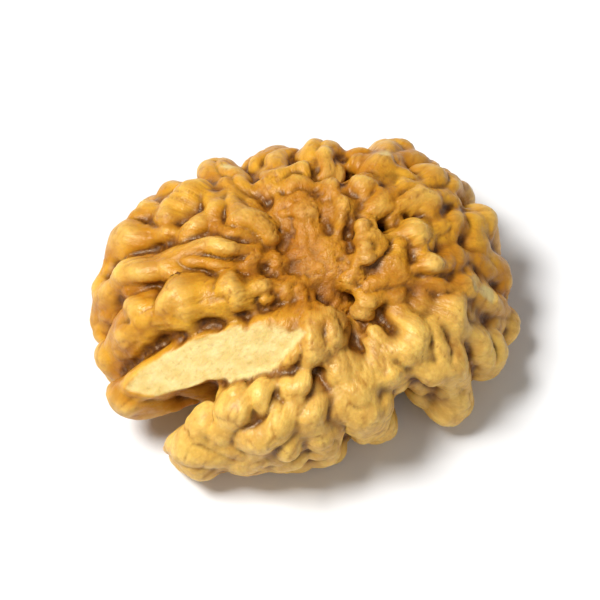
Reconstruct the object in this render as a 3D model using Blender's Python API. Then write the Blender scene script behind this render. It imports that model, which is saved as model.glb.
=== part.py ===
"""A cracked walnut: one kernel half, rounded outer side up, lying on its folded inner side.

The kernel is one solid. Round ridges run over a dome from a hub to the rim, a lower
lobe lies along the front, and a narrow slot parts the two at the base end (-X). A flat
face beside the slot is where a ridge broke. The origin is under the middle of the
kernel, on the plane that it rests on.
"""
import math
import random

import bmesh
import bpy
from mathutils import Matrix, Vector, noise

MM = 0.001  # lengths below are in millimetres; meshes are written in metres

# Overall size of the finished kernel
LENGTH = 34.0
WIDTH = 27.4
HEIGHT = 13.4

# The dome that the ridges' crowns touch
HALF_LENGTH = 17.0
HALF_WIDTH = 13.7
CROWN = 13.6
RIM = 3.6           # height at which the outline is widest
PLAN_POWER = 2.6    # outline seen from above: 2 is an ellipse, more is squarer
SIDE_POWER = 2.1    # the same, seen from the side
VALLEY = 4.2        # depth of the dome's body under the crowns
ROOT = 1.9          # depth of a ridge's root under the ridge
BODY_BOTTOM = 0.8

# Past the outline a ridge turns in under the rim
UNDER_TURN = math.radians(75)
TURN_RATE = 6.0         # how soon it turns
TUCK = 0.16             # how far it comes in
UNDERSIDE = 1.3         # how low it comes

# Front lobe: its spine, seen from above, and the flutes that fall from it to the rim
SPINE = [(-14.2, -8.6), (-9.0, -9.6), (-2.0, -10.0), (4.5, -8.4), (10.0, -6.4)]
SPINE_RADIUS = 2.3
FLUTES = [
    ((-13.0, -8.2), (-14.0, -12.0), 2.1),
    ((-10.8, -8.2), (-11.6, -13.6), 2.0),
    ((-8.2, -8.0), (-8.8, -14.4), 1.6),
    ((-5.8, -8.2), (-5.6, -15.0), 1.7),
    ((-3.4, -8.2), (-1.4, -15.4), 2.0),
    ((-0.2, -7.8), (3.8, -14.4), 1.9),
    ((3.4, -7.0), (7.4, -10.0), 1.5),
    ((5.6, -6.2), (11.0, -12.4), 2.1),
    ((7.6, -5.4), (14.6, -9.6), 1.9),
    ((8.6, -4.4), (17.4, -6.2), 1.9),
]
FLUTE_START = 0.7       # part of its full width that a flute starts with
FURROW = [(-7.0, -7.2), (-1.5, -7.6), (4.0, -5.6), (9.5, -3.4)]
FURROW_RADIUS = 2.4
FURROW_DEPTH = 1.8      # depth of the furrow's bottom under the dome

# Ridges of the rear lobe: points seen from above, from the hub outwards; radius; spurs
RIDGES = [
    ([(-1.0, -1.9), (-7.0, -0.8), (-16.2, 1.0)], 2.3, False),
    ([(-1.6, 0.6), (-7.0, 2.8), (-15.8, 4.6)], 2.0, False),
    ([(-4.6, 5.2), (-9.0, 6.9), (-14.8, 8.3)], 2.1, True),
    ([(-1.8, 2.8), (-5.0, 8.0), (-9.8, 12.2)], 2.1, True),
    ([(-1.5, 6.4), (-3.0, 11.0), (-4.6, 14.6)], 1.8, False),
    ([(0.8, 2.6), (1.4, 8.4), (0.8, 15.0)], 2.5, False),
    ([(4.4, 7.4), (5.2, 10.0), (6.6, 14.0)], 1.9, True),
    ([(2.8, 1.6), (7.2, 4.8), (12.0, 9.8)], 2.2, True),
    ([(8.0, 2.6), (11.2, 3.6), (15.8, 5.2)], 2.0, True),
    ([(3.4, -1.8), (8.8, -0.8), (15.0, 0.2)], 2.0, True),
    ([(3.6, -4.2), (9.0, -3.2), (16.0, -2.6)], 1.6, False),
]
HUB = (1.4, 0.6, 8.3)   # middle of the ball that fills in where the ridges meet
HUB_RADIUS = 4.5
RIDGE_SEED = 7
RIDGE_POINTS = 16       # points along a ridge
RIDGE_START = 0.62      # part of its full width that a ridge starts with
TIP_NARROWING = 0.12    # part of the radius lost at a ridge's end
KNUCKLE_STEP = 3.0      # distance between two swellings along a ridge
KNUCKLE_DEPTH = 0.12    # part of the radius by which a ridge swells and narrows
SPUR_STEP = 2.7         # distance between two spurs along a ridge
SPUR_OFFSET = 0.7       # part of a step that the first spur stands from the ridge's start
SPUR_REACH = (0.75, 1.15)   # shortest and longest spur, in radii of its ridge
SPUR_WIDTH = (0.6, 0.78)    # thinnest and thickest spur, the same
SPUR_LEAN = 0.5         # how far a spur leans along its ridge, in parts of its reach
SPUR_SUNK = 0.2         # depth of a spur's crown under the dome

# Unevenness: its size, how far it reaches; the height under which it keeps the rim level
WANDER = [(12.0, 0.8), (5.0, 0.8)]
WANDER_SEED = 5
WANDER_FREE = 4.0

# Pleats that run out from the hub, and small folds over everything
PLEATS = 4.0            # pleats in one radian round the hub
PLEAT_DEPTH = 1.0
PLEAT_TWIST = 0.08      # how much a pleat changes over one millimetre of its length
PLEATS_FROM = 4.0       # distance from the hub where the pleats begin
CRINKLE_SIZE = 3.4
CRINKLE_DEPTH = 0.55
HUB_CRINKLE = 1.5       # how much deeper the small folds are on the hub
CREASE = 0.03           # how round the bottom of a crease is
FOLDED_MIDDLE = 0.2     # average of the folded noise

# Squashed balls cut out of the kernel: centre, half sizes, depth of the folds round it
HOLLOWS = {
    'Slot': ((-15.0, -6.4, 3.0), (6.8, 1.25, 13.0), 0.0),
    'Cleft': ((-4.5, -5.4, 0.0), (15.0, 2.0, 4.2), 0.05),
    'Inner hollow': ((0.5, 2.8, 0.0), (10.0, 6.2, 3.4), 0.15),
}
FOLDS = 9

# The bar beside the slot, from the hub outwards, and the flat face broken along it
BAR = [(-0.8, -5.2, 10.8), (-15.2, -3.3, 6.2)]
BAR_RADIUS = 2.7
BAR_TAPER = 0.5         # part of the radius lost at the free end
BAR_ROOT_TAPER = 0.2
BREAK_OUTWARD = (-0.34, -0.52, 0.78)
BREAK_DEPTH = 1.35      # how far the face lies under the bar's crest
BREAK_LENGTH = 15.2     # from point to point
BREAK_WIDTH = 4.0
BREAK_TAPER = 3.4       # length over which each end narrows to its point
BREAK_HEIGHT = 3.0      # height of what is taken off above the broken face

VOXEL = 0.36            # grain of the skin
BALL_DETAIL = 2
ROD_DETAIL = 3
SMOOTHING = 2
KEEP = 0.19             # part of the triangles left after the decimation
FLOOR_BITE = 0.5        # how much of the rim the resting plane takes off

SKIN = (0.60, 0.34, 0.10, 1.0)
ROUGHNESS = 0.45


def plan_radius(x, y, inset):
    """1 on the outline moved in by inset, less inside it."""
    along = abs(x) / (HALF_LENGTH - inset)
    across = abs(y) / (HALF_WIDTH - inset)
    return (along**PLAN_POWER + across**PLAN_POWER) ** (1 / PLAN_POWER)


def on_dome(x, y, inset):
    """Lift a plan point onto the dome; past the outline it turns in under the rim."""
    reach = plan_radius(x, y, inset)
    if reach <= 1:
        rise = (1 - reach**SIDE_POWER) ** (1 / SIDE_POWER)
        return Vector((x, y, RIM + (CROWN - RIM - inset) * rise))
    turn = min((reach - 1) * TURN_RATE, 1) * UNDER_TURN
    inward = (1 - TUCK * (1 - math.cos(turn))) / reach
    return Vector((x * inward, y * inward, RIM - (RIM - UNDERSIDE) * math.sin(turn)))


def smooth_path(corners, count):
    """Plan points along a Catmull-Rom curve through the corners."""
    corners = [Vector(c) for c in corners]
    ends = [2 * corners[0] - corners[1], *corners, 2 * corners[-1] - corners[-2]]
    path = []
    for i in range(count):
        at = i / (count - 1) * (len(corners) - 1)
        k = min(int(at), len(corners) - 2)
        t = at - k
        a, b, c, d = ends[k:k + 4]
        path.append(0.5 * (2 * b + (c - a) * t + (2 * a - 5 * b + 4 * c - d) * t**2
                           + (3 * b - a - 3 * c + d) * t**3))
    return path


def path_length(path):
    return sum((b - a).length for a, b in zip(path, path[1:]))


def add_tube(curve, points, radii):
    """One round rod through the points, as a spline of the bevelled curve."""
    spline = curve.splines.new('POLY')
    spline.points.add(len(points) - 1)
    for knot, point, radius in zip(spline.points, points, radii):
        knot.co = (*(point * MM), 1)
        knot.radius = radius


def add_ball(bm, centre, radius):
    place = Matrix.Translation(centre * MM)
    bmesh.ops.create_icosphere(bm, subdivisions=BALL_DETAIL, radius=radius * MM, matrix=place)


def add_rod(curve, bm, points, radii):
    """A round rod with round ends."""
    add_tube(curve, points, radii)
    add_ball(bm, points[0], radii[0])
    add_ball(bm, points[-1], radii[-1])


def add_ridge(curve, bm, corners, radius, dice, start=RIDGE_START):
    """A knuckled round ridge on the dome, start of its full width at first, with a root."""
    path = smooth_path(corners, RIDGE_POINTS)
    waves = path_length(path) / KNUCKLE_STEP
    phase = dice.random()
    radii = []
    for i in range(len(path)):
        t = i / (len(path) - 1)
        swell = 1 + KNUCKLE_DEPTH * math.sin(2 * math.pi * (waves * t + phase))
        narrow = min(start + t, 1) * (1 - TIP_NARROWING * t**3)
        radii.append(radius * swell * narrow)
    for depth in (0, ROOT):
        add_rod(curve, bm, [on_dome(p.x, p.y, radius + depth) for p in path], radii)
    return path


def add_spurs(curve, bm, path, radius, dice):
    """Short round spurs, left and right in turn along a ridge."""
    count = int(path_length(path) / SPUR_STEP)
    for i in range(count):
        at = int((i + SPUR_OFFSET) / count * (len(path) - 2))
        along = (path[at + 1] - path[at]).normalized()
        side = Vector((-along.y, along.x)) * (-1) ** i
        reach = radius * dice.uniform(*SPUR_REACH)
        tip = path[at] + side * reach + along * reach * SPUR_LEAN
        spur = radius * dice.uniform(*SPUR_WIDTH)
        ends = [on_dome(p.x, p.y, spur + SPUR_SUNK) for p in (path[at], tip)]
        add_rod(curve, bm, ends, [spur, spur])


def add_front_lobe(curve, bm, dice):
    """The spine of the front lobe, its flutes and the floor of the furrow behind it."""
    add_ridge(curve, bm, SPINE, SPINE_RADIUS, dice, start=1)
    for start, rim, radius in FLUTES:
        add_ridge(curve, bm, [start, rim], radius, dice, start=FLUTE_START)
    floor = [on_dome(p.x, p.y, FURROW_RADIUS + FURROW_DEPTH) for p in smooth_path(FURROW, RIDGE_POINTS)]
    add_rod(curve, bm, floor, [FURROW_RADIUS] * len(floor))


def add_bar(curve, bm):
    """The straight bar beside the slot, thinner towards its free end, with its root."""
    start, end = (Vector(place) for place in BAR)
    steps = [i / (RIDGE_POINTS - 1) for i in range(RIDGE_POINTS)]
    for depth, taper in ((0, BAR_TAPER), (ROOT, BAR_ROOT_TAPER)):
        sunk = Vector((0, 0, depth))
        radii = [BAR_RADIUS * (1 - taper * t**2) for t in steps]
        add_rod(curve, bm, [start.lerp(end, t) - sunk for t in steps], radii)


def add_body(bm):
    """The dome under the ridges, shaped from a ball."""
    ball = bmesh.ops.create_uvsphere(bm, u_segments=96, v_segments=48, radius=1)
    for vert in ball['verts']:
        x, y, z = vert.co
        flat = math.hypot(x, y)
        stretch = flat / plan_radius(x, y, VALLEY) if flat > 0 else 0
        height = CROWN - RIM - VALLEY if z > 0 else RIM - BODY_BOTTOM
        vert.co = Vector((x * stretch, y * stretch, RIM + z * height)) * MM


def add_ridges(bm, dice):
    """All the ridges, as closed rods and balls that overlap."""
    curve = bpy.data.curves.new('Ridges', 'CURVE')
    curve.dimensions = '3D'
    curve.bevel_depth = MM
    curve.bevel_resolution = ROD_DETAIL
    curve.use_fill_caps = True
    add_ball(bm, Vector(HUB), HUB_RADIUS)
    add_front_lobe(curve, bm, dice)
    add_bar(curve, bm)
    for corners, radius, spurs in RIDGES:
        path = add_ridge(curve, bm, corners, radius, dice)
        if spurs:
            add_spurs(curve, bm, path, radius, dice)
    rods = add_object('Ridges', curve)
    bm.from_mesh(solved_mesh(rods))
    bpy.data.objects.remove(rods)


def wander(bm):
    """Push the surface about by smooth noise, so that no ridge runs true."""
    noise.seed_set(WANDER_SEED)
    for vert in bm.verts:
        shift = Vector((0, 0, 0))
        for size, reach in WANDER:
            shift += noise.noise_vector(vert.co / (size * MM)) * reach * MM
        shift.z *= min(max(vert.co.z, 0) / (WANDER_FREE * MM), 1)
        vert.co += shift


def add_object(name, data):
    obj = bpy.data.objects.new(name, data)
    bpy.context.scene.collection.objects.link(obj)
    return obj


def object_from(name, bm):
    mesh = bpy.data.meshes.new(name)
    bm.to_mesh(mesh)
    bm.free()
    return add_object(name, mesh)


def solved_mesh(obj):
    """The object's mesh with its modifiers applied."""
    bpy.context.view_layer.update()
    solved = obj.evaluated_get(bpy.context.evaluated_depsgraph_get())
    return bpy.data.meshes.new_from_object(solved)


def cut(target, cutter):
    """Take the cutter out of the target."""
    cutter.hide_render = True
    cutter.display_type = 'WIRE'
    boolean = target.modifiers.new(cutter.name, 'BOOLEAN')
    boolean.operation = 'DIFFERENCE'
    boolean.object = cutter


def ball_cutter(name, centre, half_sizes, fold_depth):
    """A squashed ball, folded round its upright axis."""
    bm = bmesh.new()
    bmesh.ops.create_icosphere(bm, subdivisions=5, radius=1)
    for vert in bm.verts:
        turn = math.atan2(vert.co.y, vert.co.x)
        fold = 1 + fold_depth * (1 - vert.co.z**2) * math.sin(FOLDS * turn)
        vert.co = Vector(c + s * fold * v for c, s, v in zip(centre, half_sizes, vert.co)) * MM
    return object_from(name, bm)


def remesh(obj):
    """One closed skin round everything that overlaps."""
    skin = obj.modifiers.new('One skin', 'REMESH')
    skin.mode = 'VOXEL'
    skin.voxel_size = VOXEL * MM
    skin.use_smooth_shade = True


def folded(place):
    """Noise folded at its middle: round swellings parted by sharp creases, about 0 on average."""
    return math.hypot(noise.noise(place), CREASE) - FOLDED_MIDDLE


def crinkle(mesh):
    """Pleats that run out from the hub, and small folds over everything."""
    normals = [vert.normal.copy() for vert in mesh.vertices]
    for vert, normal in zip(mesh.vertices, normals):
        place = vert.co / MM
        spoke = place - Vector(HUB)
        strength = min(max(spoke.length / PLEATS_FROM - 1, 0), 1)
        pleat = folded(spoke.normalized() * PLEATS + place * PLEAT_TWIST) * PLEAT_DEPTH * strength
        fold = folded(place / CRINKLE_SIZE) * CRINKLE_DEPTH * (HUB_CRINKLE - (HUB_CRINKLE - 1) * strength)
        vert.co += normal * (pleat + fold) * MM


def rough_kernel():
    """The whole shape, before it is sized and cut flat."""
    dice = random.Random(RIDGE_SEED)
    bm = bmesh.new()
    add_body(bm)
    add_ridges(bm, dice)
    wander(bm)
    rough = object_from('Rough kernel', bm)
    remesh(rough)
    cutters = [ball_cutter(name, *shape) for name, shape in HOLLOWS.items()]
    for cutter in cutters:
        cut(rough, cutter)
    remesh(rough)
    soften = rough.modifiers.new('Soften', 'SMOOTH')
    soften.factor = 0.5
    soften.iterations = SMOOTHING
    mesh = solved_mesh(rough)
    for obj in (rough, *cutters):
        bpy.data.objects.remove(obj)
    crinkle(mesh)
    return mesh


def break_frame():
    """A point on the broken face, and its long, sideways and outward directions."""
    start, end = (Vector(place) for place in BAR)
    outward = Vector(BREAK_OUTWARD).normalized()
    side = outward.cross(end - start).normalized()
    middle = start.lerp(end, 0.5) + outward * (BAR_RADIUS - BREAK_DEPTH)
    return middle, side.cross(outward), side, outward


def break_cutter():
    """A six-sided slab that stands on the broken face."""
    middle, length, side, outward = break_frame()
    half = BREAK_WIDTH / 2
    end = BREAK_LENGTH / 2
    bend = end - BREAK_TAPER
    outline = [(end, 0), (bend, half), (-bend, half), (-end, 0), (-bend, -half), (bend, -half)]
    bm = bmesh.new()
    face = bm.faces.new([bm.verts.new((middle + length * u + side * v) * MM) for u, v in outline])
    extruded = bmesh.ops.extrude_face_region(bm, geom=[face])['geom']
    top = [item for item in extruded if isinstance(item, bmesh.types.BMVert)]
    bmesh.ops.translate(bm, verts=top, vec=outward * BREAK_HEIGHT * MM)
    bmesh.ops.recalc_face_normals(bm, faces=bm.faces)
    return object_from('Broken off', bm)


def floor_cutter():
    """A box whose top is the resting plane."""
    bm = bmesh.new()
    size = Vector((3 * LENGTH, 3 * WIDTH, HEIGHT)) * MM
    place = Matrix.Translation((0, 0, -size.z / 2)) @ Matrix.Diagonal((*size, 1))
    bmesh.ops.create_cube(bm, size=1, matrix=place)
    return object_from('Resting plane', bm)


def fit(mesh):
    """Scale and move the mesh to the overall size, its rim just through the floor."""
    low = [min(v.co[i] for v in mesh.vertices) for i in range(3)]
    high = [max(v.co[i] for v in mesh.vertices) for i in range(3)]
    size = (LENGTH, WIDTH, HEIGHT + FLOOR_BITE)
    for vert in mesh.vertices:
        share = [(vert.co[i] - low[i]) / (high[i] - low[i]) for i in range(3)]
        vert.co = [(share[0] - 0.5) * size[0] * MM, (share[1] - 0.5) * size[1] * MM,
                   (share[2] * size[2] - FLOOR_BITE) * MM]


def kernel_material():
    material = bpy.data.materials.new('Walnut kernel')
    material.use_nodes = True
    shader = material.node_tree.nodes['Principled BSDF']
    shader.inputs['Base Color'].default_value = SKIN
    shader.inputs['Roughness'].default_value = ROUGHNESS
    shader.inputs['Metallic'].default_value = 0.0
    return material


def main():
    for obj in list(bpy.data.objects):
        bpy.data.objects.remove(obj)
    mesh = rough_kernel()
    fit(mesh)
    mesh.name = 'kernel_half'
    mesh.materials.append(kernel_material())
    kernel = add_object('kernel_half', mesh)
    thin = kernel.modifiers.new('Fewer triangles', 'DECIMATE')
    thin.ratio = KEEP
    cut(kernel, break_cutter())
    cut(kernel, floor_cutter())


main()
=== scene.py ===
"""Looks of the cracked walnut kernel.

The kernel is modelled again from the same ridges as its CAD solid, at a finer grain, then
creased, wrinkled and coloured. It lies on a pale floor under soft light.
"""
import math
import random

import bmesh
import bpy
import numpy as np
from mathutils import Matrix, Vector, noise


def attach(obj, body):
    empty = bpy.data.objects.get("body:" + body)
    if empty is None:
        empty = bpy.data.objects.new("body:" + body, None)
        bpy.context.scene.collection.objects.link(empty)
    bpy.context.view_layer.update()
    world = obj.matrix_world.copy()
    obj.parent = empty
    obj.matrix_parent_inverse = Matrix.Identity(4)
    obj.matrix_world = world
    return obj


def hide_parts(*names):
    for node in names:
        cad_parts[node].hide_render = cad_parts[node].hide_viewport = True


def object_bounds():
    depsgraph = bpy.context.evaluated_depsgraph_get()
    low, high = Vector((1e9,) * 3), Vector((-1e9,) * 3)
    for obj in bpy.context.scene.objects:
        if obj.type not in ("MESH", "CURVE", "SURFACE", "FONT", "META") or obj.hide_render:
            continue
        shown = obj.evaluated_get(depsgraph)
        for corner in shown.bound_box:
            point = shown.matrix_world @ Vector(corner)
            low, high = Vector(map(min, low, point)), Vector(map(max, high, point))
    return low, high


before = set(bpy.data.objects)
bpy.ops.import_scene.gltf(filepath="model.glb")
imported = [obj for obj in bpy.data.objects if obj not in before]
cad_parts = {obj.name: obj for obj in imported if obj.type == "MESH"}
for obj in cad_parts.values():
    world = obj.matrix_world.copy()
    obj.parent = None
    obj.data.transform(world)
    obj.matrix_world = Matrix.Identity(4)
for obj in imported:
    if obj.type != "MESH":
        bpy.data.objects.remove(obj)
cad_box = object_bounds()

MM = 0.001  # lengths below are in millimetres; meshes are written in metres

# The dome that the ridges' crowns touch
HALF_LENGTH = 17.0
HALF_WIDTH = 13.7
CROWN = 13.6
RIM = 3.6           # height at which the outline is widest
PLAN_POWER = 2.6    # outline seen from above: 2 is an ellipse, more is squarer
SIDE_POWER = 2.1    # the same, seen from the side
VALLEY = 4.2        # depth of the dome's body under the crowns
ROOT = 1.9          # depth of a ridge's root under the ridge
BODY_BOTTOM = 0.8

# Past the outline a ridge turns in under the rim
UNDER_TURN = math.radians(75)
TURN_RATE = 6.0         # how soon it turns
TUCK = 0.16             # how far it comes in
UNDERSIDE = 1.3         # how low it comes

# Front lobe: its spine, seen from above, and the flutes that fall from it to the rim
SPINE = [(-14.2, -8.6), (-9.0, -9.6), (-2.0, -10.0), (4.5, -8.4), (10.0, -6.4)]
SPINE_RADIUS = 2.3
FLUTES = [
    ((-13.0, -8.2), (-14.0, -12.0), 2.1),
    ((-10.8, -8.2), (-11.6, -13.6), 2.0),
    ((-8.2, -8.0), (-8.8, -14.4), 1.6),
    ((-5.8, -8.2), (-5.6, -15.0), 1.7),
    ((-3.4, -8.2), (-1.4, -15.4), 2.0),
    ((-0.2, -7.8), (3.8, -14.4), 1.9),
    ((3.4, -7.0), (7.4, -10.0), 1.5),
    ((5.6, -6.2), (11.0, -12.4), 2.1),
    ((7.6, -5.4), (14.6, -9.6), 1.9),
    ((8.6, -4.4), (17.4, -6.2), 1.9),
]
FLUTE_START = 0.7       # part of its full width that a flute starts with
FURROW = [(-7.0, -7.2), (-1.5, -7.6), (4.0, -5.6), (9.5, -3.4)]
FURROW_RADIUS = 2.4
FURROW_DEPTH = 1.8      # depth of the furrow's bottom under the dome

# Ridges of the rear lobe: points seen from above, from the hub outwards; radius; spurs
RIDGES = [
    ([(-1.0, -1.9), (-7.0, -0.8), (-16.2, 1.0)], 2.3, False),
    ([(-1.6, 0.6), (-7.0, 2.8), (-15.8, 4.6)], 2.0, False),
    ([(-4.6, 5.2), (-9.0, 6.9), (-14.8, 8.3)], 2.1, True),
    ([(-1.8, 2.8), (-5.0, 8.0), (-9.8, 12.2)], 2.1, True),
    ([(-1.5, 6.4), (-3.0, 11.0), (-4.6, 14.6)], 1.8, False),
    ([(0.8, 2.6), (1.4, 8.4), (0.8, 15.0)], 2.5, False),
    ([(4.4, 7.4), (5.2, 10.0), (6.6, 14.0)], 1.9, True),
    ([(2.8, 1.6), (7.2, 4.8), (12.0, 9.8)], 2.2, True),
    ([(8.0, 2.6), (11.2, 3.6), (15.8, 5.2)], 2.0, True),
    ([(3.4, -1.8), (8.8, -0.8), (15.0, 0.2)], 2.0, True),
    ([(3.6, -4.2), (9.0, -3.2), (16.0, -2.6)], 1.6, False),
]
HUB = (1.4, 0.6, 8.3)   # middle of the ball that fills in where the ridges meet
HUB_RADIUS = 4.5
RIDGE_SEED = 7
RIDGE_POINTS = 16       # points along a ridge
RIDGE_START = 0.62      # part of its full width that a ridge starts with
TIP_NARROWING = 0.12    # part of the radius lost at a ridge's end
KNUCKLE_STEP = 3.0      # distance between two swellings along a ridge
KNUCKLE_DEPTH = 0.12    # part of the radius by which a ridge swells and narrows
SPUR_STEP = 2.7         # distance between two spurs along a ridge
SPUR_OFFSET = 0.7       # part of a step that the first spur stands from the ridge's start
SPUR_REACH = (0.75, 1.15)   # shortest and longest spur, in radii of its ridge
SPUR_WIDTH = (0.6, 0.78)    # thinnest and thickest spur, the same
SPUR_LEAN = 0.5         # how far a spur leans along its ridge, in parts of its reach
SPUR_SUNK = 0.2         # depth of a spur's crown under the dome

# Unevenness: its size, how far it reaches; the height under which it keeps the rim level
WANDER = [(12.0, 0.8), (5.0, 0.8)]
WANDER_SEED = 5
WANDER_FREE = 4.0

# Pleats that run out from the hub, and small folds over everything
PLEATS = 4.0            # pleats in one radian round the hub
PLEAT_DEPTH = 1.0
PLEAT_TWIST = 0.08      # how much a pleat changes over one millimetre of its length
PLEATS_FROM = 4.0       # distance from the hub where the pleats begin
CRINKLE_SIZE = 3.4
CRINKLE_DEPTH = 0.55
HUB_CRINKLE = 1.5       # how much deeper the small folds are on the hub
CREASE = 0.03           # how round the bottom of a crease is
FOLDED_MIDDLE = 0.2     # average of the folded noise

# Squashed balls cut out of the kernel: centre, half sizes, depth of the folds round it
HOLLOWS = {
    'Slot': ((-15.0, -6.4, 3.0), (6.8, 1.25, 13.0), 0.0),
    'Cleft': ((-4.5, -5.4, 0.0), (15.0, 2.0, 4.2), 0.05),
    'Inner hollow': ((0.5, 2.8, 0.0), (10.0, 6.2, 3.4), 0.15),
}
FOLDS = 9

# The bar beside the slot, from the hub outwards, and the flat face broken along it
BAR = [(-0.8, -5.2, 10.8), (-15.2, -3.3, 6.2)]
BAR_RADIUS = 2.7
BAR_TAPER = 0.5         # part of the radius lost at the free end
BAR_ROOT_TAPER = 0.2
BREAK_OUTWARD = (-0.34, -0.52, 0.78)
BREAK_DEPTH = 1.35      # how far the face lies under the bar's crest
BREAK_LENGTH = 15.2     # from point to point
BREAK_WIDTH = 4.0
BREAK_TAPER = 3.4       # length over which each end narrows to its point

# Flakes off the crowns: middle seen from above, and reach
CHIPS = [(15.0, -5.0, 1.5), (-2.6, 12.2, 0.9), (10.4, 8.6, 1.0)]
CHIP_DEPTH = 0.18
CHIP_BARENESS = 0.3     # part of the broken face's bareness that a flake has
BARENESS = 15           # how soon the flesh shows, per millimetre taken off
EDGE_ROUNDS = 5         # rounds of averaging that round the broken face's edge

FLOOR_BITE = 0.5        # how much of the rim the resting plane takes off
VOXEL = 0.21            # grain of the skin
BALL_DETAIL = 3         # subdivisions of the ridges' balls
ROD_DETAIL = 5          # the same for their round outline
SMOOTHING = 8           # rounds of smoothing over the joined shape

# Fine shape of the skin
CREASE_ROUNDS = 8       # rounds of averaging that a crease shows up against
VALLEY_ROUNDS = 90      # the same, for a valley
# A crease's colour is painted shade
CREASE_BLUR = 3         # rounds of averaging that soften a crease's colour
FLESH_BLUR = 1          # the same, for the edge of the bare flesh
PINCH = 1.2             # how much deeper a crease is pinched, in parts of its depth
PINCH_LIMIT = 0.12      # depth of crease from which it is pinched no further
LUMP_SIZE = 1.3
LUMP_HEIGHT = 0.04
LUMP_SEED = 1
VEINS = 13              # veins in one radian round the hub
VEIN_TWIST = 0.05       # how much a vein changes over one millimetre of its length
VEIN_DEPTH = 0.06
VEIN_SEED = 2
HUB_CREASE_SIZE = 1.7
HUB_CREASE_DEPTH = 0.16
HUB_CREASE_SEED = 3
LINE_SHARPNESS = 5      # narrowness of the veins and the hub's creases
SEED_STEP = (13.1, 7.7, 3.3)    # how far apart in the noise two seeds lie


def plan_radius(x, y, inset):
    """1 on the outline moved in by inset, less inside it."""
    along = abs(x) / (HALF_LENGTH - inset)
    across = abs(y) / (HALF_WIDTH - inset)
    return (along**PLAN_POWER + across**PLAN_POWER) ** (1 / PLAN_POWER)


def on_dome(x, y, inset):
    """Lift a plan point onto the dome; past the outline it turns in under the rim."""
    reach = plan_radius(x, y, inset)
    if reach <= 1:
        rise = (1 - reach**SIDE_POWER) ** (1 / SIDE_POWER)
        return Vector((x, y, RIM + (CROWN - RIM - inset) * rise))
    turn = min((reach - 1) * TURN_RATE, 1) * UNDER_TURN
    inward = (1 - TUCK * (1 - math.cos(turn))) / reach
    return Vector((x * inward, y * inward, RIM - (RIM - UNDERSIDE) * math.sin(turn)))


def smooth_path(corners, count):
    """Plan points along a Catmull-Rom curve through the corners."""
    corners = [Vector(c) for c in corners]
    ends = [2 * corners[0] - corners[1], *corners, 2 * corners[-1] - corners[-2]]
    path = []
    for i in range(count):
        at = i / (count - 1) * (len(corners) - 1)
        k = min(int(at), len(corners) - 2)
        t = at - k
        a, b, c, d = ends[k:k + 4]
        path.append(0.5 * (2 * b + (c - a) * t + (2 * a - 5 * b + 4 * c - d) * t**2
                           + (3 * b - a - 3 * c + d) * t**3))
    return path


def path_length(path):
    return sum((b - a).length for a, b in zip(path, path[1:]))


def add_tube(curve, points, radii):
    """One round rod through the points, as a spline of the bevelled curve."""
    spline = curve.splines.new('POLY')
    spline.points.add(len(points) - 1)
    for knot, point, radius in zip(spline.points, points, radii):
        knot.co = (*(point * MM), 1)
        knot.radius = radius


def add_ball(bm, centre, radius):
    place = Matrix.Translation(centre * MM)
    bmesh.ops.create_icosphere(bm, subdivisions=BALL_DETAIL, radius=radius * MM, matrix=place)


def add_rod(curve, bm, points, radii):
    """A round rod with round ends."""
    add_tube(curve, points, radii)
    add_ball(bm, points[0], radii[0])
    add_ball(bm, points[-1], radii[-1])


def add_ridge(curve, bm, corners, radius, dice, start=RIDGE_START):
    """A knuckled round ridge on the dome, start of its full width at first, with a root."""
    path = smooth_path(corners, RIDGE_POINTS)
    waves = path_length(path) / KNUCKLE_STEP
    phase = dice.random()
    radii = []
    for i in range(len(path)):
        t = i / (len(path) - 1)
        swell = 1 + KNUCKLE_DEPTH * math.sin(2 * math.pi * (waves * t + phase))
        narrow = min(start + t, 1) * (1 - TIP_NARROWING * t**3)
        radii.append(radius * swell * narrow)
    for depth in (0, ROOT):
        add_rod(curve, bm, [on_dome(p.x, p.y, radius + depth) for p in path], radii)
    return path


def add_spurs(curve, bm, path, radius, dice):
    """Short round spurs, left and right in turn along a ridge."""
    count = int(path_length(path) / SPUR_STEP)
    for i in range(count):
        at = int((i + SPUR_OFFSET) / count * (len(path) - 2))
        along = (path[at + 1] - path[at]).normalized()
        side = Vector((-along.y, along.x)) * (-1) ** i
        reach = radius * dice.uniform(*SPUR_REACH)
        tip = path[at] + side * reach + along * reach * SPUR_LEAN
        spur = radius * dice.uniform(*SPUR_WIDTH)
        ends = [on_dome(p.x, p.y, spur + SPUR_SUNK) for p in (path[at], tip)]
        add_rod(curve, bm, ends, [spur, spur])


def add_front_lobe(curve, bm, dice):
    """The spine of the front lobe, its flutes and the floor of the furrow behind it."""
    add_ridge(curve, bm, SPINE, SPINE_RADIUS, dice, start=1)
    for start, rim, radius in FLUTES:
        add_ridge(curve, bm, [start, rim], radius, dice, start=FLUTE_START)
    floor = [on_dome(p.x, p.y, FURROW_RADIUS + FURROW_DEPTH) for p in smooth_path(FURROW, RIDGE_POINTS)]
    add_rod(curve, bm, floor, [FURROW_RADIUS] * len(floor))


def add_bar(curve, bm):
    """The straight bar beside the slot, thinner towards its free end, with its root."""
    start, end = (Vector(place) for place in BAR)
    steps = [i / (RIDGE_POINTS - 1) for i in range(RIDGE_POINTS)]
    for depth, taper in ((0, BAR_TAPER), (ROOT, BAR_ROOT_TAPER)):
        sunk = Vector((0, 0, depth))
        radii = [BAR_RADIUS * (1 - taper * t**2) for t in steps]
        add_rod(curve, bm, [start.lerp(end, t) - sunk for t in steps], radii)


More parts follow.
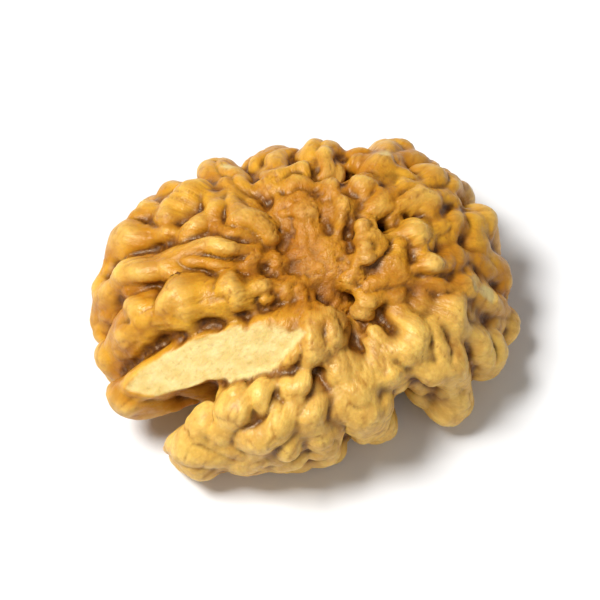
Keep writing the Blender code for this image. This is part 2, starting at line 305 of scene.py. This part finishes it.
def add_body(bm):
    """The dome under the ridges, shaped from a ball."""
    ball = bmesh.ops.create_uvsphere(bm, u_segments=96, v_segments=48, radius=1)
    for vert in ball['verts']:
        x, y, z = vert.co
        flat = math.hypot(x, y)
        stretch = flat / plan_radius(x, y, VALLEY) if flat > 0 else 0
        height = CROWN - RIM - VALLEY if z > 0 else RIM - BODY_BOTTOM
        vert.co = Vector((x * stretch, y * stretch, RIM + z * height)) * MM


def add_ridges(bm, dice):
    """All the ridges, as closed rods and balls that overlap."""
    curve = bpy.data.curves.new('Ridges', 'CURVE')
    curve.dimensions = '3D'
    curve.bevel_depth = MM
    curve.bevel_resolution = ROD_DETAIL
    curve.use_fill_caps = True
    add_ball(bm, Vector(HUB), HUB_RADIUS)
    add_front_lobe(curve, bm, dice)
    add_bar(curve, bm)
    for corners, radius, spurs in RIDGES:
        path = add_ridge(curve, bm, corners, radius, dice)
        if spurs:
            add_spurs(curve, bm, path, radius, dice)
    rods = add_object('Ridges', curve)
    bm.from_mesh(solved_mesh(rods))
    bpy.data.objects.remove(rods)


def wander(bm):
    """Push the surface about by smooth noise, so that no ridge runs true."""
    noise.seed_set(WANDER_SEED)
    for vert in bm.verts:
        shift = Vector((0, 0, 0))
        for size, reach in WANDER:
            shift += noise.noise_vector(vert.co / (size * MM)) * reach * MM
        shift.z *= min(max(vert.co.z, 0) / (WANDER_FREE * MM), 1)
        vert.co += shift


def add_object(name, data):
    obj = bpy.data.objects.new(name, data)
    bpy.context.scene.collection.objects.link(obj)
    return obj


def object_from(name, bm):
    mesh = bpy.data.meshes.new(name)
    bm.to_mesh(mesh)
    bm.free()
    return add_object(name, mesh)


def solved_mesh(obj):
    """The object's mesh with its modifiers applied."""
    bpy.context.view_layer.update()
    solved = obj.evaluated_get(bpy.context.evaluated_depsgraph_get())
    return bpy.data.meshes.new_from_object(solved)


def cut(target, cutter):
    """Take the cutter out of the target."""
    cutter.hide_render = True
    cutter.display_type = 'WIRE'
    boolean = target.modifiers.new(cutter.name, 'BOOLEAN')
    boolean.operation = 'DIFFERENCE'
    boolean.object = cutter


def ball_cutter(name, centre, half_sizes, fold_depth):
    """A squashed ball, folded round its upright axis."""
    bm = bmesh.new()
    bmesh.ops.create_icosphere(bm, subdivisions=5, radius=1)
    for vert in bm.verts:
        turn = math.atan2(vert.co.y, vert.co.x)
        fold = 1 + fold_depth * (1 - vert.co.z**2) * math.sin(FOLDS * turn)
        vert.co = Vector(c + s * fold * v for c, s, v in zip(centre, half_sizes, vert.co)) * MM
    return object_from(name, bm)


def remesh(obj):
    """One closed skin round everything that overlaps."""
    skin = obj.modifiers.new('One skin', 'REMESH')
    skin.mode = 'VOXEL'
    skin.voxel_size = VOXEL * MM
    skin.use_smooth_shade = True


def folded(place):
    """Noise folded at its middle: round swellings parted by sharp creases, about 0 on average."""
    return math.hypot(noise.noise(place), CREASE) - FOLDED_MIDDLE


def crinkle(mesh):
    """Pleats that run out from the hub, and small folds over everything."""
    normals = [vert.normal.copy() for vert in mesh.vertices]
    for vert, normal in zip(mesh.vertices, normals):
        place = vert.co / MM
        spoke = place - Vector(HUB)
        strength = min(max(spoke.length / PLEATS_FROM - 1, 0), 1)
        pleat = folded(spoke.normalized() * PLEATS + place * PLEAT_TWIST) * PLEAT_DEPTH * strength
        fold = folded(place / CRINKLE_SIZE) * CRINKLE_DEPTH * (HUB_CRINKLE - (HUB_CRINKLE - 1) * strength)
        vert.co += normal * (pleat + fold) * MM


def rough_kernel():
    """The whole shape, before it is sized and cut flat."""
    dice = random.Random(RIDGE_SEED)
    bm = bmesh.new()
    add_body(bm)
    add_ridges(bm, dice)
    wander(bm)
    rough = object_from('Rough kernel', bm)
    remesh(rough)
    cutters = [ball_cutter(name, *shape) for name, shape in HOLLOWS.items()]
    for cutter in cutters:
        cut(rough, cutter)
    remesh(rough)
    soften = rough.modifiers.new('Soften', 'SMOOTH')
    soften.factor = 0.5
    soften.iterations = SMOOTHING
    mesh = solved_mesh(rough)
    for obj in (rough, *cutters):
        bpy.data.objects.remove(obj)
    crinkle(mesh)
    return mesh


def break_frame():
    """A point on the broken face, and its long, sideways and outward directions."""
    start, end = (Vector(place) for place in BAR)
    outward = Vector(BREAK_OUTWARD).normalized()
    side = outward.cross(end - start).normalized()
    middle = start.lerp(end, 0.5) + outward * (BAR_RADIUS - BREAK_DEPTH)
    return middle, side.cross(outward), side, outward


# Arrays over a mesh's points, for the fine shape

def points_of(mesh):
    flat = np.empty(len(mesh.vertices) * 3, np.float32)
    mesh.vertices.foreach_get('co', flat)
    return flat.reshape(-1, 3).astype(np.float64)


def put_points(mesh, points):
    mesh.vertices.foreach_set('co', points.astype(np.float32).ravel())
    mesh.update()


def normals_of(mesh):
    flat = np.empty(len(mesh.vertices) * 3, np.float32)
    mesh.vertex_normals.foreach_get('vector', flat)
    return flat.reshape(-1, 3).astype(np.float64)


def neighbours(mesh):
    """Each edge's two points, and how many edges meet at each point."""
    flat = np.empty(len(mesh.edges) * 2, np.int32)
    mesh.edges.foreach_get('vertices', flat)
    ends = flat.reshape(-1, 2)
    return ends[:, 0], ends[:, 1], np.bincount(flat, minlength=len(mesh.vertices))


def relax(values, links, rounds):
    """Average each value with its neighbours, again and again."""
    a, b, count = links
    columns = values.reshape(len(count), -1).T.copy()
    for _ in range(rounds):
        for column in columns:
            total = np.bincount(a, column[b], len(count)) + np.bincount(b, column[a], len(count))
            column[:] = 0.5 * column + 0.5 * total / count
    return columns.T.reshape(values.shape)


def hollowness(points, normals, links, rounds):
    """How far the surface lies under its own smoothed shape, in millimetres."""
    return ((relax(points, links, rounds) - points) * normals).sum(1) / MM


def noise_over(points, size, seed):
    """Smooth noise between about -1 and 1 at each point."""
    away = Vector([seed * step for step in SEED_STEP])
    scaled = points / (size * MM)
    return np.array([noise.noise(Vector(p) + away) for p in scaled])


def fit_box(points):
    """Scale the points to the CAD solid's box, the rim just through the floor."""
    low, high = points.min(0), points.max(0)
    cad_low, cad_high = (np.array(corner, float) for corner in cad_box)
    cad_low[2] -= FLOOR_BITE * MM
    return cad_low + (points - low) / (high - low) * (cad_high - cad_low)


def press_flat(points):
    """Press what stands above the broken face down onto it; gives how far each point moved."""
    middle, length, side, outward = (np.array(v) for v in break_frame())
    off = points / MM - middle
    to_end = BREAK_LENGTH / 2 - np.abs(off @ length)
    half_width = BREAK_WIDTH / 2 * np.clip(to_end / BREAK_TAPER, 0, 1)
    inside = np.abs(off @ side) < half_width
    lift = np.where(inside, np.maximum(off @ outward, 0), 0)
    points -= lift[:, None] * outward * MM
    return lift


def soften_edge(points, lift, links):
    """Take the teeth off the edge between pressed points and the others."""
    pressed = relax(np.where(lift > 0, 1.0, 0.0), links, EDGE_ROUNDS)
    edge = 4 * pressed * (1 - pressed)
    points += edge[:, None] * (relax(points, links, EDGE_ROUNDS) - points)


def chip_off(points, normals, place, reach):
    """Take a thin flake off the crown over a plan point; gives how far each point moved."""
    near = np.hypot(*(points[:, :2] / MM - place).T) < reach
    top = points[near][points[near, 2].argmax()] / MM
    off = points / MM - top
    close = np.linalg.norm(off, axis=1) < reach
    outward = normals[close].sum(0)
    outward /= np.linalg.norm(outward)
    lift = np.where(close, np.maximum(off @ outward + CHIP_DEPTH, 0), 0)
    points -= lift[:, None] * outward * MM
    return lift


def pinch_creases(points, normals, links):
    """Deepen what is already a crease, and roughen the skin a little."""
    depth = hollowness(points, normals, links, CREASE_ROUNDS)
    points -= normals * (np.clip(depth, 0, PINCH_LIMIT)[:, None] * PINCH * MM)
    points += normals * (noise_over(points, LUMP_SIZE, LUMP_SEED) * LUMP_HEIGHT * MM)[:, None]


def lines_in(values):
    """1 along the lines where smooth noise passes through 0, and 0 away from them."""
    return np.clip(1 - np.abs(values) * LINE_SHARPNESS, 0, 1)


def carve_veins(points, normals):
    """Veins that run out from the hub, and small creases round it; gives where they are."""
    spoke = points / MM - np.array(HUB)
    far = np.linalg.norm(spoke, axis=1)[:, None]
    fan = spoke / far * VEINS + far * VEIN_TWIST
    near_hub = np.clip(2 - far[:, 0] / HUB_RADIUS, 0, 1)
    veins = lines_in(noise_over(fan * MM, 1, VEIN_SEED)) ** 2
    creases = lines_in(noise_over(points, HUB_CREASE_SIZE, HUB_CREASE_SEED)) * near_hub
    groove = np.maximum(veins, creases)
    points -= normals * (groove * (VEIN_DEPTH + HUB_CREASE_DEPTH * near_hub) * MM)[:, None]
    return groove


def bare_flesh(points, normals, links):
    """Press the broken face flat and take off the flakes; gives how bare each point is."""
    lift = press_flat(points)
    soften_edge(points, lift, links)
    for x, y, reach in CHIPS:
        lift += chip_off(points, normals, (x, y), reach) * CHIP_BARENESS
    return relax(np.clip(lift * BARENESS, 0, 1), links, FLESH_BLUR)


def kernel_mesh():
    """The kernel with its fine shape, and at each point what the material asks for."""
    mesh = rough_kernel()
    links = neighbours(mesh)
    points = fit_box(points_of(mesh))
    put_points(mesh, points)
    normals = normals_of(mesh)
    # How far each point lies under its smoothed shape: the material paints a highlight on the crowns and
    # shade in the valleys from it
    marks = {'valley': hollowness(points, normals, links, VALLEY_ROUNDS)}
    pinch_creases(points, normals, links)
    marks['groove'] = carve_veins(points, normals)
    marks['flesh'] = bare_flesh(points, normals, links)
    points[:, 2] = np.maximum(points[:, 2], cad_box[0][2])
    put_points(mesh, points)
    # How deep each point lies in a crease: the material paints shade there
    creases = hollowness(points, normals_of(mesh), links, CREASE_ROUNDS)
    marks['crease'] = relax(creases, links, CREASE_BLUR)
    for name, values in marks.items():
        layer = mesh.attributes.new(name, 'FLOAT', 'POINT')
        layer.data.foreach_set('value', values.astype(np.float32))
    return mesh


def linear(*screen):
    """An 8-bit screen colour as the shader's linear colour, by the sRGB curve."""
    shares = [value / 255 for value in screen]
    return (*[((v + 0.055) / 1.055) ** 2.4 if v > 0.04 else v / 12.92 for v in shares], 1)


class Nodes:
    """Short names for building one material's nodes."""

    def __init__(self, name):
        self.material = bpy.data.materials.new(name)
        self.material.use_nodes = True
        self.tree = self.material.node_tree
        self.shader = self.tree.nodes['Principled BSDF']

    def add(self, kind, **settings):
        node = self.tree.nodes.new(kind)
        for key, value in settings.items():
            setattr(node, key, value)
        return node

    def link(self, source, target):
        self.tree.links.new(source, target)

    def attribute(self, name):
        return self.add('ShaderNodeAttribute', attribute_name=name).outputs['Fac']

    def noise(self, vector, scale, detail=3.0, rough=0.55):
        node = self.add('ShaderNodeTexNoise')
        self.link(vector, node.inputs['Vector'])
        node.inputs['Scale'].default_value = scale
        node.inputs['Detail'].default_value = detail
        node.inputs['Roughness'].default_value = rough
        return node.outputs['Fac']

    def between(self, value, low, high, to_low=0.0, to_high=1.0):
        node = self.add('ShaderNodeMapRange', interpolation_type='SMOOTHSTEP')
        self.link(value, node.inputs['Value'])
        for key, number in (('From Min', low), ('From Max', high), ('To Min', to_low), ('To Max', to_high)):
            node.inputs[key].default_value = number
        return node.outputs['Result']

    def maths(self, operation, first, second):
        node = self.add('ShaderNodeMath', operation=operation)
        for socket, value in zip(node.inputs, (first, second)):
            if isinstance(value, (int, float)):
                socket.default_value = value
            else:
                self.link(value, socket)
        return node.outputs['Value']

    def vector(self, operation, first, second=None):
        node = self.add('ShaderNodeVectorMath', operation=operation)
        self.link(first, node.inputs[0])
        if operation == 'SCALE':
            node.inputs['Scale'].default_value = second
        elif isinstance(second, tuple):
            node.inputs[1].default_value = second
        elif second is not None:
            self.link(second, node.inputs[1])
        return node.outputs['Value' if operation == 'LENGTH' else 'Vector']

    def part(self, vector, axis):
        node = self.add('ShaderNodeSeparateXYZ')
        self.link(vector, node.inputs['Vector'])
        return node.outputs[axis]

    def mix(self, factor, first, second):
        """One colour into another; a mix node keeps its colours in sockets 6 and 7."""
        node = self.add('ShaderNodeMix', data_type='RGBA')
        for socket, value in ((node.inputs[0], factor), (node.inputs[6], first), (node.inputs[7], second)):
            if isinstance(value, (int, float, tuple)):
                socket.default_value = value
            else:
                self.link(value, socket)
        return node.outputs[2]


SKIN_LIGHT = linear(224, 166, 46)
SKIN_TAN = linear(190, 124, 20)
# Pale skin of the front lobe, and the painted highlight on the crowns
PALE_SKIN_AND_HIGHLIGHT = linear(246, 208, 112)
# Painted shade in the valleys
VALLEY_SHADE_COLOUR = linear(112, 52, 2)
# Painted shade in the creases
CREASE_SHADE_COLOUR = linear(62, 22, 0)
VEIN = linear(150, 88, 22)
HUB_BROWN = linear(176, 104, 18)
FLESH_LIGHT = linear(236, 213, 146)
FLESH_DARK = linear(220, 190, 114)
FLESH_PIT = linear(184, 146, 70)

# Noise in the material, in waves per millimetre
PATCHES = 0.22
VEIN_GAPS = 0.5
GRAIN = 0.9
PITS = 2.4
SPECKLES = 2.6
SHEEN = 1.1
PORES = 2.2
STREAKS = 12.0          # streaks in one radian round the hub
STREAK_TWIST = 0.12     # how much a streak changes over one millimetre of its length
WRINKLES = 2.5          # fine wrinkles beside one streak

# Noise at which a mark begins, and at which it is at its full strength
SOFT_EDGE = (0.3, 0.7)
PATCH_EDGE = (0.35, 0.65)
VEIN_EDGE = (0.4, 0.6)
STREAK_EDGE = (0.42, 0.62)
PIT_EDGE = (0.56, 0.72)

# Part of the colour below that each coat covers
PALE_FRONT = 0.6
# Painted highlight on the crowns
PAINTED_CROWN_HIGHLIGHT = 0.65
BROWN_STREAKS = 0.32
BROWN_HUB = 0.55
# Painted shade in the valleys
PAINTED_VALLEY_SHADE = 0.9
# Painted shade in the creases
PAINTED_CREASE_SHADE = 0.9
BROWN_VEINS = 0.7
TAN_SPECKLES = 0.25
FLESH_PITS = 0.35

# Where a coat begins and where it is full, in millimetres
FRONT_EDGE = (-4.0, -9.0)       # along Y
CROWN_HIGHLIGHT_EDGE = (-0.05, -0.5)      # above the smoothed surface
HUB_EDGE = (10.0, 3.5)          # from the hub's middle
VALLEY_SHADE_EDGE = (-0.1, 0.36)      # under the smoothed surface
CREASE_SHADE_EDGE = (0.0, 0.09)

ROUGHNESS = (0.31, 0.50)
FLESH_ROUGHER = 0.25    # how much rougher bare flesh is than the skin
BUMP_STRENGTH = 0.75
BUMP_HEIGHT = 0.1
SKIN_SHADER = {
    'Subsurface Weight': 0.2,
    'Subsurface Radius': (1.0, 0.4, 0.1),
    'Subsurface Scale': 1.0 * MM,
    'Specular IOR Level': 0.45,
    'Specular Tint': (1.0, 0.88, 0.66, 1.0),
}


def skin_colour(n, mm, streaks):
    """Golden skin, pale on the front lobe and brown at the hub, with a painted highlight on the crowns and
    painted shade in the folds and creases.
    """
    colour = n.mix(n.between(n.noise(mm, PATCHES), *PATCH_EDGE), SKIN_TAN, SKIN_LIGHT)
    coats = [
        (n.part(mm, 'Y'), FRONT_EDGE, PALE_FRONT, PALE_SKIN_AND_HIGHLIGHT),
        # Painted highlight: paler where the surface stands above its smoothed shape
        (n.attribute('valley'), CROWN_HIGHLIGHT_EDGE, PAINTED_CROWN_HIGHLIGHT, PALE_SKIN_AND_HIGHLIGHT),
        (n.noise(streaks, 1.0, detail=4.0, rough=0.6), STREAK_EDGE, BROWN_STREAKS, VEIN),
        (n.vector('LENGTH', n.vector('SUBTRACT', mm, HUB)), HUB_EDGE, BROWN_HUB, HUB_BROWN),
        # Painted shade: browner where the surface lies under its smoothed shape
        (n.attribute('valley'), VALLEY_SHADE_EDGE, PAINTED_VALLEY_SHADE, VALLEY_SHADE_COLOUR),
        # Painted shade: darkest at the bottom of the creases
        (n.attribute('crease'), CREASE_SHADE_EDGE, PAINTED_CREASE_SHADE, CREASE_SHADE_COLOUR),
    ]
    for value, edge, strength, paint in coats:
        colour = n.mix(n.between(value, *edge, 0.0, strength), colour, paint)
    veins = n.between(n.noise(mm, VEIN_GAPS), *VEIN_EDGE, 0.0, BROWN_VEINS)
    colour = n.mix(n.maths('MULTIPLY', n.attribute('groove'), veins), colour, VEIN)
    speckles = n.noise(mm, SPECKLES, detail=4.0, rough=0.6)
    return n.mix(n.between(speckles, *SOFT_EDGE, 0.0, TAN_SPECKLES), colour, SKIN_TAN)


def flesh_colour(n, mm):
    """Cream flesh with a fine grain and darker pits."""
    colour = n.mix(n.between(n.noise(mm, GRAIN, detail=5.0), *SOFT_EDGE), FLESH_DARK, FLESH_LIGHT)
    return n.mix(n.between(n.noise(mm, PITS), *PIT_EDGE, 0.0, FLESH_PITS), colour, FLESH_PIT)


def add_surface(n, mm, streaks):
    """A soft uneven sheen, duller on bare flesh, and fine pores and wrinkles."""
    skin = n.between(n.noise(mm, SHEEN), *SOFT_EDGE, *ROUGHNESS)
    flesh = n.maths('MULTIPLY', n.attribute('flesh'), FLESH_ROUGHER)
    n.link(n.maths('ADD', skin, flesh), n.shader.inputs['Roughness'])
    bump = n.add('ShaderNodeBump')
    bump.inputs['Strength'].default_value = BUMP_STRENGTH
    bump.inputs['Distance'].default_value = BUMP_HEIGHT * MM
    pores = n.noise(mm, PORES, detail=4.0, rough=0.5)
    wrinkles = n.noise(streaks, WRINKLES, rough=0.5)
    n.link(n.maths('ADD', pores, wrinkles), bump.inputs['Height'])
    n.link(bump.outputs['Normal'], n.shader.inputs['Normal'])


def kernel_material():
    n = Nodes('Walnut skin and flesh')
    mm = n.vector('SCALE', n.add('ShaderNodeTexCoord').outputs['Object'], 1 / MM)
    spoke = n.vector('NORMALIZE', n.vector('SUBTRACT', mm, HUB))
    streaks = n.vector('ADD', n.vector('SCALE', spoke, STREAKS), n.vector('SCALE', mm, STREAK_TWIST))
    colour = n.mix(n.attribute('flesh'), skin_colour(n, mm, streaks), flesh_colour(n, mm))
    n.link(colour, n.shader.inputs['Base Color'])
    add_surface(n, mm, streaks)
    for name, value in SKIN_SHADER.items():
        n.shader.inputs[name].default_value = value
    return n.material


# The stage round the kernel, in metres
FLOOR_SIZE = 3.0
FLOOR_SHADE = 0.85
FLOOR_ROUGHNESS = 0.9
SKY_STRENGTH = 0.22
CAMERA_AZIMUTH = -18.5      # degrees round from the front, less than 0 towards -X
CAMERA_ELEVATION = 62.0     # degrees above the floor
CAMERA_DISTANCE = 0.30
CAMERA_LENS = 228.0         # focal length in millimetres
CAMERA_NEAR = 0.01
LOOK_AT = (0.0, 0.0, 0.0055)

# Square lamps: place, width, power in watts
LAMPS = {
    'Key light': ((-0.20, 0.08, 0.42), 0.17, 2.8),
    'Front fill': ((0.15, -0.40, 0.30), 0.40, 0.4),
}


def aim(obj, target):
    obj.rotation_euler = (Vector(target) - obj.location).to_track_quat('-Z', 'Y').to_euler()


def add_camera():
    azimuth, elevation = math.radians(CAMERA_AZIMUTH), math.radians(CAMERA_ELEVATION)
    back = Vector((math.sin(azimuth) * math.cos(elevation), -math.cos(azimuth) * math.cos(elevation),
                   math.sin(elevation)))
    camera = add_object('Camera', bpy.data.cameras.new('Camera'))
    camera.data.lens = CAMERA_LENS
    camera.data.clip_start = CAMERA_NEAR
    camera.location = Vector(LOOK_AT) + back * CAMERA_DISTANCE
    aim(camera, LOOK_AT)
    bpy.context.scene.camera = camera


def add_lamp(name, place, width, power):
    lamp = bpy.data.lights.new(name, 'AREA')
    lamp.size = width
    lamp.energy = power
    light = add_object(name, lamp)
    light.location = place
    aim(light, LOOK_AT)


def add_floor():
    bm = bmesh.new()
    bmesh.ops.create_grid(bm, x_segments=1, y_segments=1, size=FLOOR_SIZE / 2)
    floor = object_from('Floor', bm)
    n = Nodes('Pale floor')
    n.shader.inputs['Base Color'].default_value = (FLOOR_SHADE, FLOOR_SHADE, FLOOR_SHADE, 1)
    n.shader.inputs['Roughness'].default_value = FLOOR_ROUGHNESS
    floor.data.materials.append(n.material)


def add_sky():
    world = bpy.data.worlds.new('Soft surroundings')
    world.use_nodes = True
    sky = world.node_tree.nodes['Background']
    sky.inputs['Color'].default_value = (1, 1, 1, 1)
    sky.inputs['Strength'].default_value = SKY_STRENGTH
    bpy.context.scene.world = world


def add_kernel():
    mesh = kernel_mesh()
    mesh.name = 'kernel_skin'
    mesh.materials.append(kernel_material())
    kernel = add_object('kernel_skin', mesh)
    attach(kernel, "root")
    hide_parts("kernel_half")


add_kernel()
add_floor()
add_sky()
for name, settings in LAMPS.items():
    add_lamp(name, *settings)
add_camera()
bpy.context.scene.view_settings.view_transform = 'Standard'
